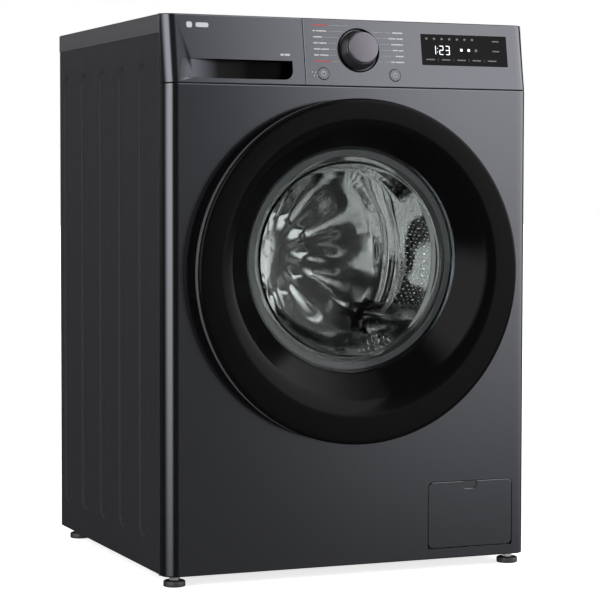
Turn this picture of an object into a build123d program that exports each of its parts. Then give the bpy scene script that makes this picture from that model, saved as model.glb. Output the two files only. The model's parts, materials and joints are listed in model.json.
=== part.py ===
from build123d import *
import math
import os

# A front loading washing machine. Millimetres, +Z up, the front facing -Y.
# The origin is on the floor, in the middle of the footprint.
# A depth d is measured backwards from the flat face of the front panel.

# Driving dimensions
width = 600.0
height = 850.0
rim_stand = 38.5  # how far the door's rim stands in front of the front panel
body_depth = 567.0  # front panel face to the back edge of the top plate
side_back = 558.5  # depth of the side panels' back edges
body_bottom = 16.5
lid_bottom = 821.5
panel_top = 746.8
seam_gap = 0.6
front_return = 30.0  # how far the front wraps round each side
corner_radius = 20.0
sheet = 1.2

front_y = rim_stand - (body_depth + rim_stand) / 2
half = width / 2

door_z = 467.2  # centre of the door's outer rim
door_radius = 261.4
port_z = 485.0  # centre of the glass, the seal, the tub and the drum
glass_radius = 172.0  # where the rim's bowl meets the glass
rim_inner = 214.0  # where the bowl starts, in the rim's front plane
bowl_start_z = 474.7

hinge_x, hinge_d = -248.0, -20.7
hinge_arms = (door_z - 30, door_z + 30)  # heights of the bracket's two arms
latch_x, latch_d = 214.0, -16.0

console_lean = 17.75  # how far the console leans back over its height
console_bottom = panel_top + seam_gap
lean_angle = math.degrees(math.atan2(console_lean, height - console_bottom))
drawer_split = -77.0
fascia_wall = 3.0

knob_x, knob_z = 12.0, 803.0
power_x, start_x, button_z, button_r = -48.0, 70.5, 766.0, 9.75
display_x, display_z = (118.0, 266.3), (783.3, 831.5)

tub_radius = 255.0
tub_wall = 5.0
drum_radius = 236.0
drum_back = 372.0
spring_x, spring_d = 284.0, 250.0
damper_low = (235.0, 50.0)  # X and Z of a damper's lower pin
damper_high = (165.0, 272.0)  # X and Z of its upper pin
damper_length = math.dist(damper_low, damper_high)
pin_r, pin_play = 4.0, 0.1

pump_x, pump_z = 201.0, 85.0
flap_x, flap_z = (129.0, 274.0), (33.5, 136.5)
flap_pivot = (3.0, 38.0)  # depth and height of the flap's pivots
foot_x, foot_d = 279.0, (24.0, 518.0)
foot_r, foot_high, stem_r = 16.5, 9.0, 5.0

spout_x, spout_d = -180.0, 330.0  # where the dispenser empties into the fill bellows
sump_x, sump_d = 40.0, 185.0
inlet_x, inlet_z = -215.0, 775.0
outlet_x, outlet_z = 262.0, 760.0
gland_x, gland_z = -240.0, 690.0
transit_places = [(x, z) for x in (-215, 215) for z in (300, 650)]
cover_screws = [(x, z) for x in (-172, 0, 172) for z in (238, 632)]
screw_r = 2.1


# Shapes that many pieces share
def block(x, d, z):
    """A box between two values of x, depth and z."""
    centre = Pos((x[0] + x[1]) / 2, front_y + (d[0] + d[1]) / 2, (z[0] + z[1]) / 2)
    return centre * Box(x[1] - x[0], d[1] - d[0], z[1] - z[0])


def barrel(radius, x, z, d):
    """A cylinder lying front to back."""
    return Pos(x, front_y + (d[0] + d[1]) / 2, z) * Rot(90, 0, 0) * Cylinder(radius, d[1] - d[0])


def tube(outer, inner, x, z, d):
    """A barrel with a bore through it."""
    return barrel(outer, x, z, d) - barrel(inner, x, z, (d[0] - 1, d[1] + 1))


def cone(radii, x, z, d):
    """A cone lying front to back, with its first radius in front."""
    return Pos(x, front_y + (d[0] + d[1]) / 2, z) * Rot(-90, 0, 0) * Cone(*radii, d[1] - d[0])


def post(radius, x, d, z):
    """An upright cylinder."""
    return Pos(x, front_y + d, (z[0] + z[1]) / 2) * Cylinder(radius, z[1] - z[0])


def slab(x, z, radius, d):
    """A plate across the machine with rounded corners."""
    face = Plane(
        origin=((x[0] + x[1]) / 2, front_y + d[0], (z[0] + z[1]) / 2),
        x_dir=(1, 0, 0),
        z_dir=(0, 1, 0),
    )
    return extrude(face * RectangleRounded(x[1] - x[0], z[1] - z[0], radius), d[1] - d[0])


def turned(points, z):
    """A ring turned about the front to back axis, from (radius, depth) points."""
    outline = Polygon(*[(r, front_y + d) for r, d in points], align=None)
    return Pos(0, 0, z) * revolve(outline, Axis.Y, 360)


def pipe(points, radius, bore, bend):
    """A hose through (x, depth, z) points, with every corner bent to one radius."""
    spots = [(x, front_y + d, z) for x, d, z in points]
    path = FilletPolyline(*spots, radius=bend)
    start = Plane(origin=path @ 0, z_dir=path % 0)
    return sweep(start * (Circle(radius) - Circle(bore)), path=path)


def sector(outer, inner, z, d, middle, spread):
    """Part of a ring, spread degrees wide about the middle angle."""
    reach = outer * 2
    wedge = Polygon(
        (0, 0),
        *[
            (reach * math.cos(math.radians(a)), reach * math.sin(math.radians(a)))
            for a in (middle - spread / 2, middle, middle + spread / 2)
        ],
        align=None,
    )
    face = Plane(origin=(0, front_y + d[1], z), x_dir=(1, 0, 0), z_dir=(0, -1, 0))
    return tube(outer, inner, 0, z, d) & extrude(face * wedge, d[1] - d[0])


def on_console(x, z):
    """A place on the leaning console face, with its local Z pointing out."""
    back = console_lean * (z - console_bottom) / (height - console_bottom)
    tilt = math.radians(lean_angle)
    face = Plane(
        origin=(x, front_y + back, z),
        x_dir=(1, 0, 0),
        z_dir=(0, -math.cos(tilt), math.sin(tilt)),
    )
    return face.location


# Cabinet
def side_panel():
    """The left wall: folded sheet with five pressed stiffening grooves."""
    bead_wide, bead_deep, bead_z = 38.0, 2.5, (62.0, 780.0)
    bead_depths = (112.0, 214.0, 316.0, 417.0, 518.0)
    flange, hook = 18.0, (235.0, 265.0)
    outer = -half
    inner = outer + sheet
    deep = (front_return + 0.4, side_back)
    tall = (body_bottom, lid_bottom)
    panel = block((outer, inner), deep, tall)
    panel += block((outer, outer + flange), (side_back - sheet, side_back), tall)
    panel += block((outer, outer + 12), (deep[0], deep[0] + sheet), tall)
    panel += block((outer, outer + 14), deep, (lid_bottom - sheet, lid_bottom))
    for d in bead_depths:
        bead = SlotOverall(bead_z[1] - bead_z[0], bead_wide, rotation=90)
        place = Plane(
            origin=(outer, front_y + d, (bead_z[0] + bead_z[1]) / 2),
            x_dir=(0, 1, 0),
            z_dir=(1, 0, 0),
        )
        backing = SlotOverall(bead_z[1] - bead_z[0] + 2 * sheet, bead_wide + 2 * sheet, rotation=90)
        panel += extrude(place.offset(sheet) * backing, bead_deep, taper=35)
        panel -= extrude(place * bead, bead_deep, taper=35)
    # The tab that the suspension spring hangs from is welded inside.
    panel += block((inner, -spring_x + 12), hook, (788, 792))
    corner = block((outer - 1, outer + 40), (side_back - 10, side_back + 5), (body_bottom - 8, body_bottom + 4))
    return panel - corner


def rear_panel():
    """The back wall, with an access opening and holes for what passes through."""
    panel = block((-290, 290), (side_back, side_back + 1.5), (body_bottom + 5, lid_bottom - 3))
    deep = (side_back - 2, side_back + 4)
    panel -= slab((-160, 160), (250, 620), 40, deep)
    panel -= barrel(20, inlet_x, inlet_z, deep)
    panel -= barrel(13.2, outlet_x, outlet_z, deep)
    panel -= barrel(8.6, gland_x, gland_z, deep)
    for x, z in transit_places:
        panel -= barrel(12, x, z, deep)
    for x, z in cover_screws:
        panel -= barrel(screw_r, x, z, deep)
    return panel


def rear_cover():
    """A dished sheet cover, screwed over the opening in the back wall."""
    back = side_back + 1.5
    cover = slab((-180, 180), (230, 640), 48, (back, back + sheet))
    cover += slab((-150, 150), (260, 610), 36, (back, back + 5.5))
    cover -= slab((-150 + sheet, 150 - sheet), (260 + sheet, 610 - sheet), 35, (back - 1, back + 5.5 - sheet))
    for x, z in cover_screws:
        cover -= barrel(screw_r, x, z, (back - 1, back + 3))
    return cover


def screws():
    """The cover's pan head screws."""
    back = side_back + 1.5 + sheet
    return [
        barrel(5, x, z, (back, back + 2.6)) + barrel(screw_r, x, z, (back - 12, back))
        for x, z in cover_screws
    ]


def transit_caps():
    """Plugs in the holes that the transit bolts leave."""
    back = side_back + 1.5
    return [
        barrel(16, x, z, (back, back + 3)) + tube(12, 9.5, x, z, (back - 10, back))
        for x, z in transit_places
    ]


def mains_gland():
    """The strain relief for the mains lead."""
    back = side_back + 1.5
    gland = barrel(12, gland_x, gland_z, (back, back + 4)) + barrel(8.6, gland_x, gland_z, (back - 8, back))
    return gland - barrel(4.2, gland_x, gland_z, (back - 9, back + 9))


def front_skin(inset):
    """The front panel's envelope, moved in by the inset."""
    body = block(
        (inset - half, half - inset),
        (inset, front_return + 5 * inset),
        (body_bottom + inset, panel_top - inset),
    )
    body = fillet(body.edges().filter_by(Axis.Z).sort_by(Axis.Y)[:2], corner_radius - inset)
    outline = (body_bottom + inset, panel_top + 60)
    return body & slab((inset - half, half - inset), outline, 13 - inset, (-1, front_return + 9))


def front_panel():
    """The pressed front, dished round the door opening."""
    dish = [(199, 0), (196, 0), (168, 24), (164, 24)]
    dish += [(164, 25.2), (168.6, 25.2), (196.6, sheet), (199, sheet)]
    panel = front_skin(0) - front_skin(sheet)
    panel -= barrel(198, 0, port_z, (-2, 3))
    panel += turned(dish, port_z)
    # The flap's opening has tight lower corners, so the flap's corners can turn in it.
    opening = (flap_x[0] - 1, flap_x[1] + 1)
    panel -= slab(opening, (flap_z[0] - 1.1, flap_z[1] + 1), 9, (-2, 3))
    panel -= slab(opening, (flap_z[0] - 1.1, flap_z[1] - 40), 3, (-2, 3))
    for z in hinge_arms:
        panel -= block((-235.5, -222.5), (-2, 3), (z - 6, z + 6))
    # The feet's stems pass through notches in the folded back bottom edge.
    for x in (-foot_x, foot_x):
        notch = (foot_d[0] - stem_r - 1, front_return + 1)
        panel -= block((x - stem_r - 1, x + stem_r + 1), notch, (body_bottom - 1, body_bottom + 2))
    return panel - block((206, 227), (-2, 3), (474, 496))


def top_plate():
    """The worktop: a hollow moulded frame with a flat top."""
    wall = 3.0
    x = (-half, half)
    d = (front_return + 0.4, body_depth)
    plate = block(x, d, (lid_bottom, height))
    plate = fillet(plate.edges().filter_by(Axis.Z).sort_by(Axis.Y)[-2:], 8)
    plate = chamfer(plate.faces().sort_by(Axis.Z)[-1].edges(), 1.2)
    inside = block((x[0] + 14, x[1] - 14), (d[0] + wall, d[1] - 14), (lid_bottom - 1, height - 15))
    return plate - inside


def base_tray():
    """The folded floor, with weld nuts for the feet and the dampers' clevises."""
    floor, edge = 2.0, 28.0
    x = (sheet - half, half - sheet)
    d = (front_return + 2, side_back - sheet)
    z = (body_bottom, body_bottom + edge)
    tray = block(x, d, z) - block(
        (x[0] + floor, x[1] - floor), (d[0] + floor, d[1] - floor), (z[0] + floor, z[1] + 1)
    )
    # The front feet stand forward of the tray's folded edge, on a tongue of the floor.
    tray += block((-286, 286), (8, d[0] + 1), (z[0] + 1.3, z[0] + 1.3 + floor))
    for fx in (-foot_x, foot_x):
        for fd in foot_d:
            tray += post(9, fx, fd, (z[0] + 1.3, z[0] + 15))
            tray -= post(stem_r + pin_play, fx, fd, (0, z[0] + 40))
    for side in (-1, 1):
        x0 = side * damper_low[0]
        for d0 in (236.0, 260.0):
            tray += block((x0 - 10, x0 + 10), (d0, d0 + 4), (z[0] + 1, damper_low[1] + 6))
        tray += barrel(pin_r, x0, damper_low[1], (236, 264))
    return tray


def foot(x, d):
    """A levelling foot: a pad, a spanner hexagon and a threaded stem."""
    pad = post(foot_r, x, d, (0, foot_high))
    pad = fillet(pad.edges().filter_by(GeomType.CIRCLE), 1.6)
    flats = Pos(x, front_y + d, foot_high) * extrude(RegularPolygon(8.5, 6), 5)
    return pad + flats + post(stem_r, x, d, (foot_high - 1, body_bottom + 34))


# Console
def console_body(x, inset):
    """The console's leaning envelope between two values of x."""
    slope = console_lean / (height - console_bottom)
    low, high = console_bottom + inset, height - inset
    step = inset / math.cos(math.radians(lean_angle))
    outline = Polygon(
        (front_y + slope * (low - console_bottom) + step, low),
        (front_y + front_return + 5 * inset, low),
        (front_y + front_return + 5 * inset, high),
        (front_y + slope * (high - console_bottom) + step, high),
        align=None,
    )
    body = extrude(Plane.YZ.offset(x[0]) * outline, x[1] - x[0])
    rising = [e for e in body.edges() if abs((e % 0.5).Z) > 0.9 and abs(e.center().X) > half - 9]
    rising = sorted(rising, key=lambda e: e.center().Y)[:1]
    return fillet(rising, corner_radius - inset)


def control_panel():
    """The right part of the console, with its knob, button and display openings."""
    x = (drawer_split + 0.4, half)
    panel = console_body(x, 0) - console_body((x[0] + fascia_wall, x[1] - fascia_wall), fascia_wall)
    for bx in (power_x, start_x):
        panel -= on_console(bx, button_z) * Cylinder(button_r, 12)
    panel -= on_console(knob_x, knob_z) * Cylinder(5.5, 12)
    middle = on_console(sum(display_x) / 2, sum(display_z) / 2)
    wide, tall = display_x[1] - display_x[0], display_z[1] - display_z[0]
    panel -= middle * Box(wide + 0.4, tall + 0.4, 4)
    return panel - middle * Box(wide - 12, tall - 12, 12)


def display_window():
    """The dark window over the display, let into the console."""
    wide, tall = display_x[1] - display_x[0], display_z[1] - display_z[0]
    return on_console(sum(display_x) / 2, sum(display_z) / 2) * Pos(0, 0, -1) * Box(wide, tall, 1.98)


def control_board():
    """The circuit board, with the knob's encoder and the buttons' switches."""
    board = on_console(110, 792) * Pos(0, 0, -22) * Box(330, 62, 1.8)
    board += on_console(knob_x, knob_z) * Pos(0, 0, -18.2) * Box(14, 14, 6)
    board += on_console(sum(display_x) / 2, sum(display_z) / 2) * Pos(0, 0, -15.5) * Box(130, 34, 11.4)
    for x in (power_x, start_x):
        board += on_console(x, button_z) * Pos(0, 0, -18.6) * Box(8, 8, 5.2)
    board -= on_console(knob_x, knob_z) * Pos(0, 0, -18) * Cylinder(3.1, 8)
    for x in (-40, 260):
        for z in (766, 818):
            board -= on_console(x, z) * Pos(0, 0, -22) * Cylinder(2.2, 6)
    return board


def knob_ring():
    """The trim ring round the programme knob."""
    return on_console(knob_x, knob_z) * (Pos(0, 0, 1) * Cylinder(34.2, 2) - Pos(0, 0, 1) * Cylinder(31.5, 4))


def program_knob():
    """The programme knob on its shaft."""
    skirt = Pos(0, 0, 8) * Cone(30.5, 25, 15)
    cap = Pos(0, 0, 18.5) * Cylinder(24, 6)
    cap = fillet(cap.edges().sort_by(Axis.Z)[-1:], 1.5)
    stem = Pos(0, 0, -9.5) * Cylinder(3, 20)
    return on_console(knob_x, knob_z) * (skirt + cap + stem)


def push_button(x):
    """A round button with a collar that keeps it in the console."""
    body = Pos(0, 0, -2.4) * Cylinder(button_r - 0.35, 6.4)
    body += Pos(0, 0, -5.4) * Cylinder(button_r + 1.6, 1.2)
    body += Pos(0, 0, -10) * Cylinder(2.5, 8)
    return on_console(x, button_z) * body


# Detergent drawer
tray_x, tray_d, tray_z = (-264.0, -90.0), (33.0, 352.0), (758.5, 806.0)
recess_z = (755.3, 784.0)
compartments = [
    ((-262.0, -178.0), (35.0, 350.0)),
    ((-176.0, -92.0), (35.0, 190.0)),
    ((-176.0, -92.0), (192.0, 350.0)),
]


def drawer_front():
    """The drawer's fascia, the left part of the console, with its hand recess."""
    x = (-half, drawer_split - 0.4)
    front = console_body(x, 0) - console_body((x[0] + fascia_wall, x[1] - fascia_wall), fascia_wall)
    front += block((-272, -95), (8, 32), (console_bottom + 1, recess_z[1] + 3))
    scoop = Polygon(
        (-97.5, front_y - 5),
        (-97.5, front_y + 28),
        (-165, front_y + 28),
        (-262, front_y + 3),
        (-272, front_y - 5),
        align=None,
    )
    scoop = Pos(0, 0, recess_z[0]) * extrude(scoop, recess_z[1] - recess_z[0])
    low = scoop.edges().filter_by(Axis.Y).sort_by(Axis.Z)[0]
    scoop = fillet(low, 14)
    return front - scoop


def drawer_tray():
    """The detergent tray, with three compartments."""
    wall = 2.0
    tray = block(tray_x, tray_d, tray_z)
    for x, d in compartments:
        tray -= block(x, d, (tray_z[0] + wall, tray_z[1] + 1))
    return tray + block((-262, -97), (32, 34), (console_bottom + 12, recess_z[1]))


def softener_insert():
    """The lift-out siphon cap over the softener compartment."""
    cap = block((-175.5, -92.5), (192.5, 349.5), (799, 802))
    cap += post(9, -134, 300, (764, 800))
    cap -= post(4, -134, 300, (763, 797))
    return cap - block((-160, -108), (210, 260), (790, 810))


def dispenser_housing():
    """The box that the drawer slides in, with its spout and feed pipe."""
    x, d, z = (-270.0, -84.0), (34.0, 372.0), (752.0, 819.0)
    wall = 2.5
    inside = block((x[0] + wall, x[1] - wall), (d[0] - 1, d[1] - wall), (z[0] + wall, z[1] - wall))
    box = block(x, d, z) - inside
    box += post(22, spout_x, spout_d, (733, z[0] + 1))
    box -= post(19, spout_x, spout_d, (730, z[0] + wall))
    box += tube(8, 6, inlet_x, inlet_z, (d[1] - 0.5, 512))
    return box - barrel(6, inlet_x, inlet_z, (d[1] - wall - 1, d[1] + 5))


def inlet_valve():
    """The solenoid valve, with its threaded inlet through the back wall."""
    valve = block((inlet_x - 20, inlet_x + 20), (512, 550), (inlet_z - 20, inlet_z + 20))
    valve += post(14, inlet_x, 531, (inlet_z - 50, inlet_z - 20))
    valve += barrel(17, inlet_x, inlet_z, (550, 553)) + barrel(13.2, inlet_x, inlet_z, (550, 566))
    return valve - barrel(8.5, inlet_x, inlet_z, (540, 570))


def fill_hose():
    """The bellows from the dispenser down to the tub."""
    hose = post(24.5, spout_x, spout_d, (693, 748))
    for step in range(6):
        z = 700 + 6.0 * step
        hose += post(27, spout_x, spout_d, (z, z + 3))
    return hose - post(22, spout_x, spout_d, (690, 760))


# Door
def bowl(extra, d):
    """The oblique cone of the rim's bowl, which is deeper at the top."""
    def ring(depth):
        share = -depth / rim_stand
        radius = glass_radius + extra + (rim_inner - glass_radius) * share
        z = port_z + (bowl_start_z - port_z) * share
        place = Plane(origin=(0, front_y + depth, z), x_dir=(1, 0, 0), z_dir=(0, 1, 0))
        return place * Circle(radius)

    return loft([ring(d[0]), ring(d[1])])


def door_outer_ring():
    """The glossy rim and its bowl, hollow behind."""
    wall = 3.0
    rim = barrel(door_radius, 0, door_z, (-rim_stand, -12))
    rim = fillet(rim.edges().sort_by(Axis.Y)[:1], 6)
    cavity = barrel(door_radius - wall, 0, door_z, (wall - rim_stand, -11)) - bowl(wall, (-60, 0))
    ring = rim + bowl(wall, (-rim_stand, 0))
    return ring - cavity - bowl(0, (-50, 5))


def door_back_ring():
    """The back of the door, which clamps the glass and carries the latch."""
    ring = cone((257.8, 252), 0, door_z, (-12, -3)) - cone((254.8, 249), 0, door_z, (-12.01, -6))
    ring -= barrel(183.2, 0, port_z, (-20, 0))
    ring += tube(186.2, 183.2, 0, port_z, (-6, 7)) + tube(186.2, 178, 0, port_z, (5.3, 7))
    for z in hinge_arms:
        ring -= block((-262, -220), (-14, -2), (z - 6.5, z + 6.5))
    ring -= block((236, 262), (-14, -2), (door_z - 52, door_z + 52))
    ring -= block((207, 221), (-14, -2), (477, 493))
    for z in (473.5, 496.5):
        ring += block((latch_x - 7, latch_x + 7), (latch_d - 6, -5), (z - 2.5, z + 2.5))
    return ring + post(2.5, latch_x, latch_d, (472, 498))


def door_glass():
    """The moulded glass bowl."""
    back = [(182.5, 5), (156, 5), (150, 12), (146, 38), (140, 62), (126, 84), (104, 95), (0, 100)]
    front = [(0, 94.5), (101, 90), (121, 80.5), (135.5, 60), (141.5, 37), (145.6, 10), (151, 0.3)]
    return turned(back + front + [(182.5, 0.3)], port_z)


def hinge_bracket():
    """The fixed bracket: a plate behind the front, with two cranked arms."""
    plate = block((-244, -202), (sheet, sheet + 3), (door_z - 46, door_z + 46))
    for z in hinge_arms:
        tall = (z - 4, z + 4)
        plate += block((-233, -225), (hinge_d - 3, sheet + 1), tall)
        plate += block((hinge_x, -225), (hinge_d - 3, hinge_d + 3), tall)
        plate += post(5.5, hinge_x, hinge_d, tall)
        plate -= post(3.05, hinge_x, hinge_d, (z - 9, z + 9))
    return plate


def hinge_block():
    """The metal block inside the rim that turns on the pin."""
    body = block((-254.5, -226), (-35.4, -14), (door_z - 23.5, door_z + 23.5))
    return body - post(3, hinge_x, hinge_d, (400, 540))


def hinge_pin():
    """The hinge's steel pin."""
    return post(3, hinge_x, hinge_d, (door_z - 36, door_z + 36))


def latch_hook():
    """The hook that the door lock holds."""
    hook = block((latch_x - 4, latch_x + 4), (latch_d - 4, 22), (479.5, 490.5))
    hook += block((latch_x + 4, latch_x + 8.5), (14, 20), (479.5, 490.5))
    return hook - post(2.6, latch_x, latch_d, (470, 500))


def door_lock():
    """The interlock behind the front panel."""
    lock = block((198, 242), (sheet, 32), (460, 512))
    lock -= block((203, 228), (0, 28), (474, 496))
    return lock + block((208, 236), (32, 42), (476, 520))


# Seal, tub and drum
def door_seal():
    """The rubber bellows between the front panel and the tub."""
    outside = [(158, 7), (167.5, 7), (167.5, 23.5), (163.5, 23.5), (163.5, 25.7), (170, 25.7), (170, 31)]
    fold = [(184, 36), (184, 47), (177, 47), (177, 61), (172.3, 61), (172.3, 49.5), (164, 49.5)]
    inside = [(164, 46), (180, 43.5), (180, 38.5), (160, 33), (158, 33)]
    return turned(outside + fold + inside, port_z)


def tub_front():
    """The front half of the tub, with the mouth that the seal grips."""
    tub = barrel(tub_radius, 0, port_z, (62, 148)) - barrel(tub_radius - tub_wall, 0, port_z, (67, 149))
    tub += barrel(tub_radius + 8, 0, port_z, (140, 148)) - barrel(tub_radius - tub_wall, 0, port_z, (139, 149))
    tub += barrel(172, 0, port_z, (50, 64))
    return tub - barrel(167, 0, port_z, (40, 80))


def tub_rear():
    """The back half: a ribbed bowl with the bearing housing, heater well and ears."""
    deep = (148, 430)
    tub = barrel(tub_radius, 0, port_z, deep) + barrel(tub_radius + 8, 0, port_z, (148, 156))
    tub += block((-62, 62), (160, 340), (212, 300))
    for side in (-1, 1):
        ear = sorted((side * 215, side * 287))
        tub += block(ear, (235, 265), (596, 604))
        for d in (236.0, 260.0):
            x = side * damper_high[0]
            tub += block((x - 9, x + 9), (d, d + 4), (damper_high[1] - 9, damper_high[1] + 25))
    tub += post(22, spout_x, spout_d, (600, 704))
    tub -= barrel(tub_radius - tub_wall, 0, port_z, (147, 425))
    tub -= block((-58, 58), (164, 336), (216, 290))
    tub -= post(19, spout_x, spout_d, (560, 710))
    # Stiffening ribs and the bearing housing on the back wall.
    for i in range(12):
        turn = Pos(0, 0, port_z) * Rot(0, 30 * i, 0) * Pos(0, 0, -port_z)
        tub += turn * block((-2, 2), (429, 442), (port_z + 40, port_z + 245))
    tub += tube(248, 244, 0, port_z, (429, 442)) + tube(60, 30, 0, port_z, (429, 450))
    tub += barrel(42, 0, port_z, (402, 426)) + barrel(48, 0, port_z, (429, 451))
    tub -= barrel(31, 0, port_z, (400, 428)) + barrel(26, 0, port_z, (434, 452))
    tub -= barrel(20, 0, port_z, (420, 440))
    for side in (-1, 1):
        tub += barrel(pin_r, side * damper_high[0], damper_high[1], (236, 264))
    # The sump spigot and the heater's slot.
    tub += post(16, sump_x, sump_d, (190, 216))
    tub -= post(13, sump_x, sump_d, (185, 220))
    return tub - block((-40, 40), (330, 341), (218.8, 228.8))


def heater():
    """The immersion heater: a bent tube on a flanged plug."""
    z = 224.0
    spots = [(-28, 338), (-28, 176), (28, 176), (28, 338)]
    path = FilletPolyline(*[(x, front_y + d, z) for x, d in spots], radius=27)
    rod = sweep(Plane(origin=path @ 0, z_dir=path % 0) * Circle(4), path=path)
    plug = block((-39.5, 39.5), (336, 350), (219.2, 228.4)) + block((-48, 48), (340.2, 345), (210, 229.4))
    return rod + plug


def counterweight(middle, spread):
    """A cast block bolted to the front of the tub."""
    weight = sector(248, 203, port_z, (32, 62), middle, spread)
    for a in (middle - spread / 3, middle + spread / 3):
        x = 226 * math.cos(math.radians(a))
        z = port_z + 226 * math.sin(math.radians(a))
        weight -= barrel(9, x, z, (31, 50))
    return weight


def drum_shell():
    """The drum's rolled shell with its pressed back."""
    shell = tube(drum_radius, drum_radius - 1, 0, port_z, (94, drum_back))
    low, thick = drum_back - 8, 1.2
    outside = [(0, drum_back), (120, drum_back), (132, low), (190, low)]
    outside += [(202, drum_back), (drum_radius, drum_back)]
    inside = [(r, d - thick) for r, d in reversed(outside)]
    return shell + turned(outside + inside, port_z)


def drum_front():
    """The drum's front cone, rolled round the mouth."""
    outline = [(169, 73.4), (171, 71.8), (236, 91.5), (236, 94)]
    outline += [(234.5, 94), (234.5, 92.9), (171, 74.4), (170, 75.4)]
    return turned(outline, port_z)


def drum_lifters():
    """Three hollow paddles that lift the clothes."""
    outline = Polygon((-34, 245), (-14, 192), (14, 192), (34, 245), align=None)
    place = Plane(origin=(0, front_y + 350, port_z), x_dir=(1, 0, 0), z_dir=(0, -1, 0))
    paddle = extrude(place * outline, 240)
    ridge = [e for e in paddle.edges().filter_by(Axis.Y) if e.center().Z < port_z + 200]
    paddle = fillet(ridge, 9) & barrel(drum_radius - 1.05, 0, port_z, (100, 360))
    turns = [Pos(0, 0, port_z) * Rot(0, 120 * i, 0) * Pos(0, 0, -port_z) for i in range(3)]
    return [turn * paddle for turn in turns]


def drum_spider():
    """The three-armed casting behind the drum."""
    spider = barrel(34, 0, port_z, (drum_back, 398))
    arm = block((-15, 15), (drum_back, drum_back + 16), (port_z + 20, port_z + 230))
    arm -= block((-9, 9), (drum_back + 6, drum_back + 20), (port_z + 60, port_z + 222))
    for i in range(3):
        spider += Pos(0, 0, port_z) * Rot(0, 60 + 120 * i, 0) * Pos(0, 0, -port_z) * arm
    return spider - barrel(15, 0, port_z, (drum_back + 4, 400))


def drum_shaft():
    """The stepped shaft that carries the drum and the rotor."""
    return barrel(15, 0, port_z, (drum_back + 4, 431)) + barrel(12.5, 0, port_z, (431, 506))


def bearings():
    """The two ball bearings of the drum shaft."""
    return [tube(31, 15.05, 0, port_z, (412, 428)), tube(26, 12.55, 0, port_z, (434, 449))]


def shaft_seal():
    """The lip seal in front of the bearings."""
    return tube(31, 15.3, 0, port_z, (403, 411))


def stator():
    """The motor's wound ring, fixed to the tub."""
    teeth = 36
    ring = tube(100, 84, 0, port_z, (456, 478)) + tube(86, 50, 0, port_z, (451, 458))
    for i in range(teeth):
        tooth = block((-3, 3), (457, 477), (port_z + 98, port_z + 124))
        shoe = block((-9, 9), (457, 477), (port_z + 122, port_z + 126))
        ring += Pos(0, 0, port_z) * Rot(0, 360 / teeth * i, 0) * Pos(0, 0, -port_z) * (tooth + shoe)
    return ring


def rotor():
    """The motor's outer cup with its magnet ring and cooling slots."""
    cup = tube(142, 138.5, 0, port_z, (450, 490)) + tube(142, 12.5, 0, port_z, (487, 490))
    cup += tube(138.6, 130, 0, port_z, (455, 480)) + tube(24, 12.5, 0, port_z, (474, 498))
    for i in range(12):
        slot = block((-9, 9), (484, 494), (port_z + 50, port_z + 105))
        cup -= Pos(0, 0, port_z) * Rot(0, 30 * i, 0) * Pos(0, 0, -port_z) * slot
    return cup


def suspension_springs():
    """The two springs that the tub hangs from."""
    coil_r, wire_r, coil_z, pitch = 9.0, 1.6, (605.8, 786.2), 8.2
    helix = Helix(pitch, coil_z[1] - coil_z[0], coil_r)
    coil = sweep(Plane(origin=helix @ 0, z_dir=helix % 0) * Circle(wire_r), path=helix)
    return [Pos(x, front_y + spring_d, coil_z[0]) * coil for x in (-spring_x, spring_x)]


def damper_place(side):
    """The frame of one damper: its lower pin, with local Z along its rod."""
    lean = math.degrees(math.atan2(damper_low[0] - damper_high[0], damper_high[1] - damper_low[1]))
    return Pos(side * damper_low[0], front_y + 250, damper_low[1]) * Rot(0, -side * lean, 0)


def damper_cylinder(side):
    """The lower, outer half of a friction damper."""
    body = Pos(0, 0, 87) * Cylinder(14, 130) + Pos(0, 0, 16) * Cylinder(7, 22)
    body -= Pos(0, 0, 112) * Cylinder(6.2, 160)
    body += Rot(90, 0, 0) * Cylinder(9, 18)
    return damper_place(side) * (body - Rot(90, 0, 0) * Cylinder(pin_r + pin_play, 30))


def damper_rod(side):
    """The upper half: a rod that slides in the cylinder."""
    eye = Pos(0, 0, damper_length)
    body = Pos(0, 0, damper_length / 2 + 22) * Cylinder(5.6, damper_length - 56)
    body += eye * Rot(90, 0, 0) * Cylinder(9, 18)
    return damper_place(side) * (body - eye * Rot(90, 0, 0) * Cylinder(pin_r + pin_play, 30))


# Pump
def drain_pump():
    """The pump: a filter chamber, its motor and two spigots."""
    pump = barrel(40, pump_x, pump_z, (14, 112)) + barrel(46, pump_x, pump_z, (14, 18))
    pump += Pos(pump_x - 62, front_y + 78, pump_z) * Rot(0, 90, 0) * Cylinder(27, 56)
    pump += block((pump_x - 26, pump_x + 26), (38, 104), (body_bottom + 2, pump_z))
    pump += barrel(16, pump_x - 13, pump_z + 10, (110, 140)) + barrel(9, pump_x + 27, pump_z - 23, (100, 140))
    pump -= barrel(36, pump_x, pump_z, (10, 108))
    pump -= barrel(13, pump_x - 13, pump_z + 10, (100, 145))
    return pump - barrel(7, pump_x + 27, pump_z - 23, (112, 145))


def pump_filter():
    """The screw-in lint filter, with its grip and slotted cage."""
    body = barrel(35.5, pump_x, pump_z, (16, 24))
    body += block((pump_x - 26, pump_x + 26), (8, 17), (pump_z - 4, pump_z + 4))
    cage = tube(30, 27.5, pump_x, pump_z, (23, 98)) + barrel(30, pump_x, pump_z, (96, 99))
    for i in range(8):
        slot = block((pump_x - 5, pump_x + 5), (32, 90), (pump_z + 20, pump_z + 34))
        cage -= Pos(pump_x, 0, pump_z) * Rot(0, 45 * i, 0) * Pos(-pump_x, 0, -pump_z) * slot
    return body + cage


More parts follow.
